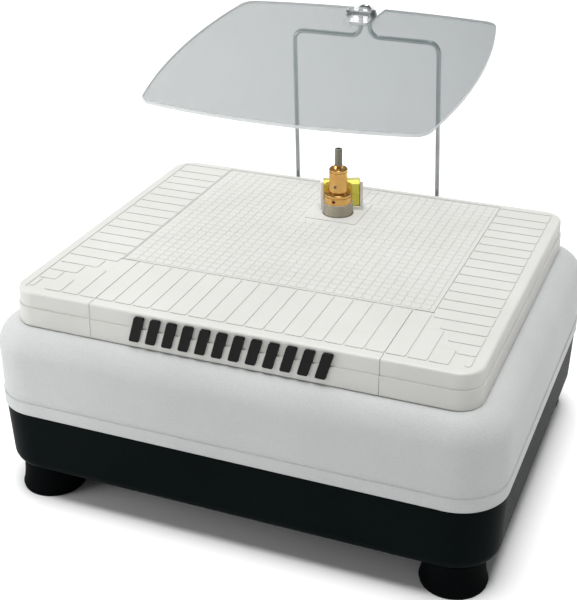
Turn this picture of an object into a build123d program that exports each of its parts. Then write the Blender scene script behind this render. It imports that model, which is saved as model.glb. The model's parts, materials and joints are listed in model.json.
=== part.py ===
from build123d import *
import os

# Bench bit grinder for stained glass.
# Millimetres. Origin on the floor under the centre of the body, +X to the right, +Y to the back, +Z up.
# The front, with the badge, faces -Y.

os.makedirs("parts", exist_ok=True)

# ---------------------------------------------------------------- driving dimensions
BODY_X, BODY_Y, BODY_R = 407.0, 327.0, 37.5      # band at the foot of the white housing
FOOT_H = 26.0                                    # floor to the underside of the base
BASE_H = 55.0                                    # black base
HOUSING_H = 71.0                                 # white housing
PLATFORM_H = 28.0                                # skirt of the work surface
WALL = 3.5                                       # moulded walls
PITCH = 15.0                                     # pads of the work surface
SPINDLE_Y = 80.0                                 # the spindle stands behind the middle
SHAFT_R = 3.97                                   # 5/16 inch spindle
RING_R = 12.7                                    # 1 inch grinding ring
RUN = 0.03                                       # radial clearance of running fits
GAP = 0.3                                        # clearance between loose pieces

BASE_Z = FOOT_H
SPLIT_Z = BASE_Z + BASE_H
DECK_Z = SPLIT_Z + HOUSING_H
TOP_Z = DECK_Z + PLATFORM_H


# ---------------------------------------------------------------- housing
BAND_H = 10.7
BAND_STEP = 0.8
HOUSING_X = BODY_X - 2 * BAND_STEP
HOUSING_Y = BODY_Y - 2 * BAND_STEP
HOUSING_R = BODY_R - BAND_STEP
SHOULDER_R = 22.0
BASIN_X, BASIN_Y, BASIN_R = 304.0, 236.0, 16.0
BASIN_FLOOR_Z = 112.0
BASIN_UNDER_Z = BASIN_FLOOR_Z - WALL
TOWER_R, TOWER_BORE_R, TOWER_TOP_Z = 15.0, 8.0, 149.0
CASE_SCREW_X, CASE_SCREW_Y = 188.0, 95.0
CASE_BOSS_R, CASE_HOLE_R = 5.5, 2.1
HOUSING_BOSS_TOP_Z = SPLIT_Z + 40
MOTOR_POST_XY = 38.0
MOTOR_POST_R, MOTOR_POST_HOLE_R = 6.0, 2.0
MOTOR_PLATE_TOP_Z = 104.0
STAND_X, STAND_Y = 66.5, 156.2
STAND_BOSS_R, STAND_BOSS_TOP_Z = 6.3, 150.0
SOCKET_R, SOCKET_BOTTOM_Z = 4.2, 108.0
OVERCUT = 1.0                                    # how far a cutting tool runs past a face

with BuildPart() as housing_cavity:
    with BuildSketch(Plane.XY.offset(SPLIT_Z)):
        RectangleRounded(HOUSING_X - 2 * WALL, HOUSING_Y - 2 * WALL, HOUSING_R - WALL)
    extrude(amount=HOUSING_H - WALL)
    fillet(housing_cavity.faces().sort_by(Axis.Z)[-1].edges(), SHOULDER_R - WALL)

with BuildPart() as housing_shell:
    with BuildSketch(Plane.XY.offset(SPLIT_Z)):
        RectangleRounded(HOUSING_X, HOUSING_Y, HOUSING_R)
    extrude(amount=HOUSING_H)
    fillet(housing_shell.faces().sort_by(Axis.Z)[-1].edges(), SHOULDER_R)
    with BuildSketch(Plane.XY.offset(SPLIT_Z)):
        RectangleRounded(BODY_X, BODY_Y, BODY_R)
    extrude(amount=BAND_H)
    add(housing_cavity.part, mode=Mode.SUBTRACT)
    # water basin let into the deck, with a tower that keeps the water off the shaft
    with BuildSketch(Plane.XY.offset(BASIN_UNDER_Z)):
        RectangleRounded(BASIN_X + 2 * WALL, BASIN_Y + 2 * WALL, BASIN_R + WALL)
    extrude(amount=DECK_Z - BASIN_UNDER_Z)
    with BuildSketch(Plane.XY.offset(BASIN_FLOOR_Z)):
        RectangleRounded(BASIN_X, BASIN_Y, BASIN_R)
    extrude(amount=DECK_Z - BASIN_FLOOR_Z, mode=Mode.SUBTRACT)
    with BuildSketch(Plane.XY.offset(BASIN_FLOOR_Z)):
        with Locations((0, SPINDLE_Y)):
            Circle(TOWER_R)
    extrude(amount=TOWER_TOP_Z - BASIN_FLOOR_Z)
    # posts under the basin floor that carry the motor
    with BuildSketch(Plane.XY.offset(MOTOR_PLATE_TOP_Z)):
        with Locations((0, SPINDLE_Y)):
            with GridLocations(2 * MOTOR_POST_XY, 2 * MOTOR_POST_XY, 2, 2):
                Circle(MOTOR_POST_R)
    extrude(amount=BASIN_UNDER_Z - MOTOR_PLATE_TOP_Z)
    # bosses for the case screws, tied to the side walls by ribs, and bosses for the wire stand
    with BuildSketch(Plane.XY.offset(SPLIT_Z)):
        with GridLocations(2 * CASE_SCREW_X, 2 * CASE_SCREW_Y, 2, 2):
            Circle(CASE_BOSS_R)
        with GridLocations(2 * (CASE_SCREW_X + CASE_BOSS_R), 2 * CASE_SCREW_Y, 2, 2):
            Rectangle(4 * WALL, WALL)
    extrude(amount=HOUSING_BOSS_TOP_Z - SPLIT_Z)
    with BuildSketch(Plane.XY.offset(SOCKET_BOTTOM_Z)):
        with GridLocations(2 * STAND_X, 0, 2, 1):
            with Locations((0, STAND_Y)):
                Circle(STAND_BOSS_R)
    extrude(amount=STAND_BOSS_TOP_Z - SOCKET_BOTTOM_Z)
    # bores
    with BuildSketch(Plane.XY.offset(BASIN_UNDER_Z - OVERCUT)):
        with Locations((0, SPINDLE_Y)):
            Circle(TOWER_BORE_R)
    extrude(amount=DECK_Z - BASIN_UNDER_Z, mode=Mode.SUBTRACT)
    with BuildSketch(Plane.XY.offset(MOTOR_PLATE_TOP_Z)):
        with Locations((0, SPINDLE_Y)):
            with GridLocations(2 * MOTOR_POST_XY, 2 * MOTOR_POST_XY, 2, 2):
                Circle(MOTOR_POST_HOLE_R)
    extrude(amount=BASIN_UNDER_Z - MOTOR_PLATE_TOP_Z, mode=Mode.SUBTRACT)
    with BuildSketch(Plane.XY.offset(SPLIT_Z)):
        with GridLocations(2 * CASE_SCREW_X, 2 * CASE_SCREW_Y, 2, 2):
            Circle(CASE_HOLE_R)
    extrude(amount=HOUSING_BOSS_TOP_Z - SPLIT_Z - WALL, mode=Mode.SUBTRACT)
    with BuildSketch(Plane.XY.offset(SOCKET_BOTTOM_Z + WALL)):
        with GridLocations(2 * STAND_X, 0, 2, 1):
            with Locations((0, STAND_Y)):
                Circle(SOCKET_R)
    extrude(amount=STAND_BOSS_TOP_Z - SOCKET_BOTTOM_Z, mode=Mode.SUBTRACT)
housing_shell.part.label = "housing_shell"
export_step(housing_shell.part, "parts/housing_shell.step")


# ---------------------------------------------------------------- base
BASE_TOP_X, BASE_TOP_Y, BASE_TOP_R = 405.0, 325.0, 36.5
BASE_DRAW_IN = 2.0                               # each side, from the rim down to the underside
BASE_EDGE_R = 10.0
FOOT_X, FOOT_Y = 169.0, 132.0
FOOT_BOSS_R, FOOT_BOSS_H, FOOT_SCREW_R = 8.0, 14.0, 2.5
CASE_HEAD_R, CASE_HEAD_Z = 4.4, 68.0
VENT_W, VENT_L, VENT_PITCH, VENT_COUNT = 5.0, 60.0, 12.0, 7
BASE_FLOOR_Z = BASE_Z + WALL


def draw_in(z):
    """How far the base wall has come inward at height z."""
    return BASE_DRAW_IN * (SPLIT_Z - z) / BASE_H


def rear_wall(x, z):
    """Plane on the outside of the base's rear wall, x along the wall and z outward."""
    normal = (0, BASE_H, -BASE_DRAW_IN)
    return Plane(origin=(x, BASE_TOP_Y / 2 - draw_in(z), z), x_dir=(1, 0, 0), z_dir=normal)


SWITCH_PLANE = rear_wall(-120.0, 48.0)
GLAND_PLANE = rear_wall(120.0, 52.0)
SWITCH_HOLE_X, SWITCH_HOLE_Y = 27.0, 21.0
GLAND_TUBE_R = 6.5

with BuildPart() as base_cavity:
    with BuildSketch(Plane.XY.offset(SPLIT_Z)):
        RectangleRounded(BASE_TOP_X - 2 * WALL, BASE_TOP_Y - 2 * WALL, BASE_TOP_R - WALL)
    with BuildSketch(Plane.XY.offset(BASE_FLOOR_Z)):
        RectangleRounded(BASE_TOP_X - 2 * WALL - 2 * draw_in(BASE_FLOOR_Z),
                         BASE_TOP_Y - 2 * WALL - 2 * draw_in(BASE_FLOOR_Z),
                         BASE_TOP_R - WALL - draw_in(BASE_FLOOR_Z))
    loft()
    fillet(base_cavity.faces().sort_by(Axis.Z)[0].edges(), BASE_EDGE_R - WALL)

with BuildPart() as base_shell:
    with BuildSketch(Plane.XY.offset(SPLIT_Z)):
        RectangleRounded(BASE_TOP_X, BASE_TOP_Y, BASE_TOP_R)
    with BuildSketch(Plane.XY.offset(BASE_Z)):
        RectangleRounded(BASE_TOP_X - 2 * BASE_DRAW_IN, BASE_TOP_Y - 2 * BASE_DRAW_IN,
                         BASE_TOP_R - BASE_DRAW_IN)
    loft()
    fillet(base_shell.faces().sort_by(Axis.Z)[0].edges(), BASE_EDGE_R)
    add(base_cavity.part, mode=Mode.SUBTRACT)
    with BuildSketch(Plane.XY.offset(BASE_FLOOR_Z)):
        with GridLocations(2 * FOOT_X, 2 * FOOT_Y, 2, 2):
            Circle(FOOT_BOSS_R)
    extrude(amount=FOOT_BOSS_H)
    with BuildSketch(Plane.XY.offset(BASE_FLOOR_Z)):
        with GridLocations(2 * CASE_SCREW_X, 2 * CASE_SCREW_Y, 2, 2):
            Circle(CASE_BOSS_R + 1)
    extrude(amount=SPLIT_Z - BASE_FLOOR_Z)
    # screw holes, with deep counterbores for the case screws
    with BuildSketch(Plane.XY.offset(BASE_Z)):
        with GridLocations(2 * FOOT_X, 2 * FOOT_Y, 2, 2):
            Circle(FOOT_SCREW_R)
    extrude(amount=WALL + FOOT_BOSS_H - 1, mode=Mode.SUBTRACT)
    with BuildSketch(Plane.XY.offset(BASE_Z)):
        with GridLocations(2 * CASE_SCREW_X, 2 * CASE_SCREW_Y, 2, 2):
            Circle(CASE_HOLE_R)
    extrude(amount=BASE_H, mode=Mode.SUBTRACT)
    with BuildSketch(Plane.XY.offset(BASE_Z)):
        with GridLocations(2 * CASE_SCREW_X, 2 * CASE_SCREW_Y, 2, 2):
            Circle(CASE_HEAD_R)
    extrude(amount=CASE_HEAD_Z - BASE_Z, mode=Mode.SUBTRACT)
    # cooling slots under the motor
    with BuildSketch(Plane.XY.offset(BASE_Z)):
        with Locations((0, SPINDLE_Y)):
            with GridLocations(VENT_PITCH, 0, VENT_COUNT, 1):
                SlotOverall(VENT_L, VENT_W, rotation=90)
    extrude(amount=WALL, mode=Mode.SUBTRACT)
    with BuildSketch(SWITCH_PLANE):
        Rectangle(SWITCH_HOLE_X, SWITCH_HOLE_Y)
    extrude(amount=-2 * WALL, mode=Mode.SUBTRACT)
    with BuildSketch(GLAND_PLANE):
        Circle(GLAND_TUBE_R)
    extrude(amount=-2 * WALL, mode=Mode.SUBTRACT)
base_shell.part.label = "base_shell"
export_step(base_shell.part, "parts/base_shell.step")


# ---------------------------------------------------------------- screws, shared shapes
THREAD = 0.05                                    # radial gap between a shank and its hole


def screw(head_r, head_h, shank_r, length):
    """A pan-head screw standing on its head, head from z = 0 up to head_h."""
    with BuildPart() as one:
        with BuildSketch():
            Circle(head_r)
        extrude(amount=head_h)
        fillet(one.faces().sort_by(Axis.Z)[0].edges(), head_h / 3)
        with BuildSketch(Plane.XY.offset(head_h)):
            Circle(shank_r)
        extrude(amount=length)
        with BuildSketch():
            Rectangle(2 * head_r, head_h / 3)
        extrude(amount=head_h / 3, mode=Mode.SUBTRACT)
    return one.part


case_screw = screw(4.0, 3.0, CASE_HOLE_R - THREAD, 30.0)
foot_screw = screw(5.0, 3.0, FOOT_SCREW_R - THREAD, 32.0)
plate_screw = screw(3.8, 2.5, MOTOR_POST_HOLE_R - THREAD, 7.0)

with BuildPart() as case_screws:
    with Locations((0, 0, CASE_HEAD_Z - 3)):
        with GridLocations(2 * CASE_SCREW_X, 2 * CASE_SCREW_Y, 2, 2):
            add(case_screw)
case_screws.part.label = "case_screws"
export_step(case_screws.part, "parts/case_screws.step")


# ---------------------------------------------------------------- suction feet
FOOT_RIM_R, FOOT_NECK_R = 25.5, 22.5
FOOT_RIM_H = 2.5
CUP_R, CUP_H = 21.5, 4.0
FOOT_HEAD_R, FOOT_HEAD_Z = 5.6, 9.0


# each rubber foot is flared and waisted outside, a hollow cup below, and counterbored for its screw
for side, foot_x in (("left", -FOOT_X), ("right", FOOT_X)):
    for end, foot_y in (("front", -FOOT_Y), ("rear", FOOT_Y)):
        foot_name = f"suction_foot_{end}_{side}"
        with BuildPart() as suction_foot:
            with BuildSketch(Plane(origin=(foot_x, foot_y, 0), x_dir=(1, 0, 0), z_dir=(0, -1, 0))):
                with BuildLine():
                    Line((0, CUP_H), (CUP_R - 6, CUP_H))
                    Spline((CUP_R - 6, CUP_H), (CUP_R, 0), tangents=[(1, 0), (0.6, -1)])
                    Line((CUP_R, 0), (FOOT_RIM_R - 0.6, 0))
                    Line((FOOT_RIM_R - 0.6, 0), (FOOT_RIM_R, FOOT_RIM_H))
                    Spline((FOOT_RIM_R, FOOT_RIM_H), (FOOT_NECK_R, FOOT_H),
                           tangents=[(-0.35, 1), (-0.05, 1)])
                    Line((FOOT_NECK_R, FOOT_H), (0, FOOT_H))
                    Line((0, FOOT_H), (0, CUP_H))
                make_face()
            revolve(axis=Axis((foot_x, foot_y, 0), (0, 0, 1)))
            with BuildSketch(Plane((foot_x, foot_y, 0))):
                Circle(FOOT_HEAD_R)
            extrude(amount=FOOT_HEAD_Z, mode=Mode.SUBTRACT)
            with BuildSketch(Plane((foot_x, foot_y, 0))):
                Circle(FOOT_SCREW_R + 2 * THREAD)
            extrude(amount=FOOT_H, mode=Mode.SUBTRACT)
        suction_foot.part.label = foot_name
        export_step(suction_foot.part, f"parts/{foot_name}.step")

with BuildPart() as foot_screws:
    with Locations((0, 0, FOOT_HEAD_Z - 3)):
        with GridLocations(2 * FOOT_X, 2 * FOOT_Y, 2, 2):
            add(foot_screw)
foot_screws.part.label = "foot_screws"
export_step(foot_screws.part, "parts/foot_screws.step")


# ---------------------------------------------------------------- work surface
PLATFORM_X, PLATFORM_Y, PLATFORM_R = 362.0, 292.0, 17.5
SKIRT_STEP, SKIRT_LOWER_H = 1.0, 15.2            # the lower half of the skirt stands proud
PLATE_T, SKIRT_T = 4.0, 3.0
TOP_EDGE_R = 2.0
GRID_X, GRID_FRONT, GRID_BACK = 8.5 * PITCH, -68.0, 140.0
TONGUE_X = 7.5 * PITCH
FIELD_X, FIELD_Y = 11.5 * PITCH, 137.0           # border of the padded field
PAD_H, PAD_W, PAD_R, PAD_END = 0.4, 14.0, 2.0, 0.8
SIDE_ROWS, CORNER_COLUMNS, TONGUE_COLUMNS = 18, 3, 15
LIP_IN, LIP_OUT, LIP_T = 5.0, 3.0, 3.5
PLATE_Z = TOP_Z - PLATE_T
FIELD_Z = TOP_Z - PAD_H


def insert_outline(grow, front):
    """Plan of the lift-out centre: the grid and the tongue in front of it, grown all round."""
    with BuildSketch() as outline:
        with Locations((0, (GRID_BACK + GRID_FRONT) / 2)):
            Rectangle(2 * (GRID_X + grow), GRID_BACK - GRID_FRONT + 2 * grow)
        with Locations((0, (front + GRID_BACK) / 2)):
            Rectangle(2 * (TONGUE_X + grow), GRID_BACK - front)
    return outline.sketch


def corner_x(y):
    """Inner end of a side pad: the grid's edge, then out along the mitre of the front corner."""
    forward = max(0.0, GRID_FRONT - y)
    return GRID_X + forward * (FIELD_X - GRID_X) / (FIELD_Y + GRID_FRONT)


def corner_y(x):
    """Back end of a front pad: the grid's front edge, then forward along the same mitre."""
    outward = max(0.0, x - GRID_X)
    return GRID_FRONT - outward * (FIELD_Y + GRID_FRONT) / (FIELD_X - GRID_X)


frame_opening = insert_outline(0, -PLATFORM_Y)
lip_outside = insert_outline(LIP_OUT, SKIRT_T - PLATFORM_Y / 2)
lip_inside = insert_outline(-LIP_IN, -PLATFORM_Y)

with BuildPart() as platform_frame:
    with BuildSketch(Plane.XY.offset(DECK_Z)):
        RectangleRounded(PLATFORM_X, PLATFORM_Y, PLATFORM_R)
    extrude(amount=PLATFORM_H)
    fillet(platform_frame.faces().sort_by(Axis.Z)[-1].edges(), TOP_EDGE_R)
    with BuildSketch(Plane.XY.offset(DECK_Z)):
        RectangleRounded(PLATFORM_X + 2 * SKIRT_STEP, PLATFORM_Y + 2 * SKIRT_STEP, PLATFORM_R + SKIRT_STEP)
    extrude(amount=SKIRT_LOWER_H)
    with BuildSketch(Plane.XY.offset(DECK_Z)):
        RectangleRounded(PLATFORM_X - 2 * SKIRT_T, PLATFORM_Y - 2 * SKIRT_T, PLATFORM_R - SKIRT_T)
    extrude(amount=PLATFORM_H - PLATE_T, mode=Mode.SUBTRACT)
    # opening for the insert, through the plate and the front skirt
    with BuildSketch(Plane.XY.offset(DECK_Z)):
        add(frame_opening)
    extrude(amount=PLATFORM_H, mode=Mode.SUBTRACT)
    # lip that the insert rests on
    with BuildSketch(Plane.XY.offset(PLATE_Z - LIP_T)):
        add(lip_outside)
        add(lip_inside, mode=Mode.SUBTRACT)
    extrude(amount=LIP_T)
    # sunk field of the two side ledges, and its raised pads
    with BuildSketch(Plane.XY.offset(FIELD_Z)):
        Rectangle(2 * FIELD_X, 2 * FIELD_Y)
        Rectangle(2 * (GRID_X + 1), 2 * (GRID_BACK + 1), mode=Mode.SUBTRACT)
        with Locations((0, (GRID_FRONT - FIELD_Y) / 2)):
            Rectangle(2 * (GRID_X + 1), FIELD_Y + GRID_FRONT)
            Rectangle(2 * (TONGUE_X + 1), FIELD_Y + GRID_FRONT, mode=Mode.SUBTRACT)
    extrude(amount=PAD_H, mode=Mode.SUBTRACT)
    with BuildSketch(Plane.XY.offset(FIELD_Z)):
        # side pads run across, stepped back along the mitre of the front corners
        for row in range(SIDE_ROWS):
            y = (row - (SIDE_ROWS - 1) / 2) * PITCH
            inner, outer = corner_x(y) + PAD_END, FIELD_X - PAD_END
            with Locations((-(inner + outer) / 2, y), ((inner + outer) / 2, y)):
                RectangleRounded(outer - inner, PAD_W, PAD_R)
        # front pads of the corners run lengthwise, stepped along the same mitre
        for column in range(CORNER_COLUMNS):
            x = TONGUE_X + (column + 0.5) * PITCH
            front, back = PAD_END - FIELD_Y, corner_y(x + PITCH / 2) - PAD_END
            with Locations((-x, (front + back) / 2), (x, (front + back) / 2)):
                RectangleRounded(PAD_W, back - front, PAD_R)
    extrude(amount=PAD_H)
platform_frame.part.label = "platform_frame"
export_step(platform_frame.part, "parts/platform_frame.step")

HEAD_HOLE_R = RING_R + 0.5
RIB_T, RIB_H = 3.0, 5.0
GRID_EDGE = 1.0                                  # flat margin round the sunk middle of the insert
ISLAND_XY, ISLAND_Y = 3 * PITCH, SPINDLE_Y + 2.5  # flat square round the head, level with the top
HOLDER_TURN = 23.0                               # the sponge holder faces a little to the right
PEGS, PEG_R = [(-11.0, 13.5), (14.0, 12.0)], 2.0  # on the holder's own plan
holder_plane = Plane((0, SPINDLE_Y, 0)).rotated((0, 0, HOLDER_TURN))
insert_front = -PLATFORM_Y / 2

with BuildPart() as grid_insert:
    with BuildSketch(Plane.XY.offset(PLATE_Z)):
        with Locations((0, (GRID_BACK + GRID_FRONT) / 2)):
            Rectangle(2 * (GRID_X - GAP), GRID_BACK - GRID_FRONT - 2 * GAP)
        with Locations((0, insert_front / 2)):
            Rectangle(2 * (TONGUE_X - GAP), -insert_front)
    extrude(amount=PLATE_T)
    with BuildSketch(Plane.XY.offset(DECK_Z)):
        with Locations((0, insert_front + SKIRT_T / 2)):
            Rectangle(2 * (TONGUE_X - GAP), SKIRT_T)
    extrude(amount=PLATFORM_H - PLATE_T)
    fillet(grid_insert.edges().filter_by(Axis.X).group_by(Axis.Z)[-1].sort_by(Axis.Y)[0], TOP_EDGE_R)
    with BuildSketch(Plane.XY.offset(DECK_Z)):
        with Locations((0, insert_front - SKIRT_STEP / 2)):
            Rectangle(2 * (TONGUE_X - GAP), SKIRT_STEP)
    extrude(amount=SKIRT_LOWER_H)
    # stiffening ribs under the plate, clear of the lip
    with BuildSketch(Plane.XY.offset(PLATE_Z - RIB_H)):
        with GridLocations(4 * PITCH, 0, 4, 1):
            with Locations((0, (insert_front + GRID_BACK) / 2)):
                Rectangle(RIB_T, GRID_BACK - insert_front - 24)
        with Locations((0, 0), (0, GRID_FRONT + 20)):
            Rectangle(2 * (TONGUE_X - 10), RIB_T)
    extrude(amount=RIB_H)
    # sunk field and raised pads of the tongue
    with BuildSketch(Plane.XY.offset(FIELD_Z)):
        with Locations((0, (GRID_FRONT - FIELD_Y) / 2)):
            Rectangle(2 * (TONGUE_X - GAP), FIELD_Y + GRID_FRONT)
    extrude(amount=PAD_H, mode=Mode.SUBTRACT)
    with BuildSketch(Plane.XY.offset(FIELD_Z)):
        with Locations((0, (GRID_FRONT - FIELD_Y) / 2)):
            with GridLocations(PITCH, 0, TONGUE_COLUMNS, 1):
                RectangleRounded(PAD_W, FIELD_Y + GRID_FRONT - 2 * PAD_END, PAD_R)
    extrude(amount=PAD_H)
    # sunk middle, with the island left standing round the head
    with BuildSketch(Plane.XY.offset(FIELD_Z)):
        with Locations((0, (GRID_BACK + GRID_FRONT) / 2)):
            Rectangle(2 * (GRID_X - GAP - GRID_EDGE), GRID_BACK - GRID_FRONT - 2 * (GAP + GRID_EDGE))
        with Locations((0, ISLAND_Y)):
            Rectangle(ISLAND_XY, ISLAND_XY, mode=Mode.SUBTRACT)
    extrude(amount=PAD_H, mode=Mode.SUBTRACT)
    with BuildSketch(Plane.XY.offset(PLATE_Z)):
        with Locations((0, SPINDLE_Y)):
            Circle(HEAD_HOLE_R)
    extrude(amount=PLATE_T, mode=Mode.SUBTRACT)
    with BuildSketch(holder_plane.offset(PLATE_Z)):
        with Locations(PEGS):
            Circle(PEG_R + GAP)
    extrude(amount=PLATE_T, mode=Mode.SUBTRACT)
grid_insert.part.label = "grid_insert"
export_step(grid_insert.part, "parts/grid_insert.step")

# generic badge: a row of slanted bars on the front skirt of the insert
BAR_COUNT, BAR_PITCH, BAR_W, BAR_H, BAR_SLANT = 12, 13.25, 8.0, 20.5, 6.0
BAR_PROUD, BAR_CORNER_R = 2.4, 1.2
BAR_Z = TOP_Z - 13.2

with BuildSketch() as badge_bar:
    with BuildLine():
        Polyline(((-BAR_W - BAR_SLANT) / 2, -BAR_H / 2), ((BAR_W - BAR_SLANT) / 2, -BAR_H / 2),
                 ((BAR_W + BAR_SLANT) / 2, BAR_H / 2), ((BAR_SLANT - BAR_W) / 2, BAR_H / 2), close=True)
    make_face()
    fillet(badge_bar.vertices(), BAR_CORNER_R)

with BuildPart() as front_badge:
    with BuildSketch(Plane.XZ.offset(-insert_front)):
        with Locations((0, BAR_Z)):
            with GridLocations(BAR_PITCH, 0, BAR_COUNT, 1):
                add(badge_bar.sketch)
    extrude(amount=BAR_PROUD)
    add(grid_insert.part, mode=Mode.SUBTRACT)
front_badge.part.label = "front_badge"
export_step(front_badge.part, "parts/front_badge.step")


# ---------------------------------------------------------------- motor, hung under the basin
PLATE_XY, PLATE_CORNER_R, MOTOR_PLATE_T = 96.0, 9.0, 3.0
CAN_R, CAN_T, CAN_BOTTOM_Z, CAN_TOP_Z = 45.0, 1.5, 44.0, 92.0
CAP_BOSS_R, CAP_BOSS_TOP_Z = 14.0, 107.0
BUSH_R, BUSH_L = 8.0, 13.0
CORE_OUT_R, CORE_IN_R, CORE_Z, CORE_H = CAN_R - CAN_T - 0.05, 24.6, 54.0, 32.0
SLOT_COUNT, SLOT_R, SLOT_W = 12, 33.0, 6.0
BOLT_R, BOLT_CIRCLE_R = 1.9, 40.0
WINDING_R, WINDING_H = 36.3, 5.5
CAN_FOOT_H = 5.0
CAN_VENT_R, CAN_VENT_CIRCLE_R, CAN_VENT_COUNT = 5.0, 24.0, 8
PRESS = 0.01                                     # radial gap of pressed fits
MOTOR_PLATE_Z = MOTOR_PLATE_TOP_Z - MOTOR_PLATE_T
UPPER_BUSH_Z = CAP_BOSS_TOP_Z - BUSH_L
SPINDLE_PLANE = Plane((0, SPINDLE_Y, 0))


def on_spindle(z):
    """Level plane at height z, centred on the spindle."""
    return SPINDLE_PLANE.offset(z)


with BuildPart() as motor_plate:
    with BuildSketch(on_spindle(MOTOR_PLATE_Z)):
        RectangleRounded(PLATE_XY, PLATE_XY, PLATE_CORNER_R)
        Circle(CAP_BOSS_R + 0.1, mode=Mode.SUBTRACT)
        with GridLocations(2 * MOTOR_POST_XY, 2 * MOTOR_POST_XY, 2, 2):
            Circle(MOTOR_POST_HOLE_R + 0.2, mode=Mode.SUBTRACT)
        with PolarLocations(BOLT_CIRCLE_R, 4):
            Circle(BOLT_R + 0.1, mode=Mode.SUBTRACT)
    extrude(amount=MOTOR_PLATE_T)
motor_plate.part.label = "motor_plate"
export_step(motor_plate.part, "parts/motor_plate.step")

with BuildPart() as motor_plate_screws:
    with Locations((0, SPINDLE_Y, MOTOR_PLATE_Z - 2.5)):
        with GridLocations(2 * MOTOR_POST_XY, 2 * MOTOR_POST_XY, 2, 2):
            add(plate_screw)
motor_plate_screws.part.label = "motor_plate_screws"
export_step(motor_plate_screws.part, "parts/motor_plate_screws.step")

with BuildPart() as motor_end_cap:
    with BuildSketch(on_spindle(CAN_TOP_Z)):
        Circle(CAN_R)
        with PolarLocations(BOLT_CIRCLE_R, 4):
            Circle(BOLT_R + 0.1, mode=Mode.SUBTRACT)
    extrude(amount=MOTOR_PLATE_Z - CAN_TOP_Z)
    with BuildSketch(on_spindle(MOTOR_PLATE_Z)):
        Circle(CAP_BOSS_R)
    extrude(amount=CAP_BOSS_TOP_Z - MOTOR_PLATE_Z)
    with BuildSketch(on_spindle(UPPER_BUSH_Z)):
        Circle(BUSH_R + PRESS)
    extrude(amount=BUSH_L, mode=Mode.SUBTRACT)
    with BuildSketch(on_spindle(CAN_TOP_Z)):
        Circle(BUSH_R - 2)
    extrude(amount=BUSH_L, mode=Mode.SUBTRACT)
motor_end_cap.part.label = "motor_end_cap"
export_step(motor_end_cap.part, "parts/motor_end_cap.step")

with BuildPart() as motor_can:
    with BuildSketch(on_spindle(CAN_BOTTOM_Z)):
        Circle(CAN_R)
    extrude(amount=CAN_TOP_Z - CAN_BOTTOM_Z)
    fillet(motor_can.faces().sort_by(Axis.Z)[0].edges(), 3 * CAN_T)
    with BuildSketch(on_spindle(CAN_BOTTOM_Z + CAN_T)):
        Circle(CAN_R - CAN_T)
    extrude(amount=CAN_TOP_Z - CAN_BOTTOM_Z - CAN_T, mode=Mode.SUBTRACT)
    with BuildSketch(on_spindle(CAN_BOTTOM_Z)):
        Circle(BUSH_R + 2.5)
    extrude(amount=CAN_FOOT_H)
    with BuildSketch(on_spindle(CAN_BOTTOM_Z)):
        Circle(BUSH_R + PRESS)
        with PolarLocations(CAN_VENT_CIRCLE_R, CAN_VENT_COUNT):
            Circle(CAN_VENT_R)
    extrude(amount=CAN_FOOT_H, mode=Mode.SUBTRACT)
motor_can.part.label = "motor_can"
export_step(motor_can.part, "parts/motor_can.step")

with BuildPart() as stator_core:
    with BuildSketch(on_spindle(CORE_Z)):
        Circle(CORE_OUT_R)
        Circle(CORE_IN_R, mode=Mode.SUBTRACT)
        with PolarLocations(BOLT_CIRCLE_R, 4):
            Circle(BOLT_R + 0.1, mode=Mode.SUBTRACT)
        with PolarLocations(SLOT_R - 3, SLOT_COUNT, start_angle=15):
            SlotOverall(SLOT_W + 6, SLOT_W, mode=Mode.SUBTRACT)
    extrude(amount=CORE_H)
stator_core.part.label = "stator_core"
export_step(stator_core.part, "parts/stator_core.step")

with BuildPart() as stator_windings:
    for z in (CORE_Z - WINDING_H, CORE_Z + CORE_H):
        with BuildSketch(on_spindle(z)):
            Circle(WINDING_R)
            Circle(CORE_IN_R + 1.5, mode=Mode.SUBTRACT)
        extrude(amount=WINDING_H)
    fillet(stator_windings.edges().filter_by(GeomType.CIRCLE), 2.0)
stator_windings.part.label = "stator_windings"
export_step(stator_windings.part, "parts/stator_windings.step")

through_bolt = screw(3.2, 3.0, BOLT_R, MOTOR_PLATE_TOP_Z - CORE_Z + 1)

with BuildPart() as motor_bolts:
    with Locations((0, SPINDLE_Y, CORE_Z - 3)):
        with PolarLocations(BOLT_CIRCLE_R, 4):
            add(through_bolt)
motor_bolts.part.label = "motor_bolts"
export_step(motor_bolts.part, "parts/motor_bolts.step")

with BuildPart() as upper_bush:
    with BuildSketch(on_spindle(UPPER_BUSH_Z)):
        Circle(BUSH_R)
        Circle(SHAFT_R + RUN, mode=Mode.SUBTRACT)
    extrude(amount=BUSH_L)
upper_bush.part.label = "upper_bush"
export_step(upper_bush.part, "parts/upper_bush.step")

with BuildPart() as lower_bush:
    with BuildSketch(on_spindle(CAN_BOTTOM_Z)):
        Circle(BUSH_R)
        Circle(SHAFT_R + RUN, mode=Mode.SUBTRACT)
    extrude(amount=CAN_FOOT_H)
lower_bush.part.label = "lower_bush"
export_step(lower_bush.part, "parts/lower_bush.step")


# ---------------------------------------------------------------- what turns
SHAFT_BOTTOM_Z, SHAFT_TOP_Z = 31.5, TOP_Z + 35
ROTOR_R = CORE_IN_R - 0.4
FAN_Z, FAN_R, FAN_HUB_R, FAN_DISC_T = 33.0, 36.0, 8.0, 1.5
BLADE_H, BLADE_T, BLADE_COUNT, BLADE_ANGLE = 7.5, 1.5, 9, 25
END_RING_H, THRUST_T = 4.0, 1.5
SLINGER_Z, SLINGER_T, SLINGER_LIP = TOWER_TOP_Z + 2, 3.0, 3.0
SLINGER_R, SLINGER_HUB_R = 22.0, 9.0

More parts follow.
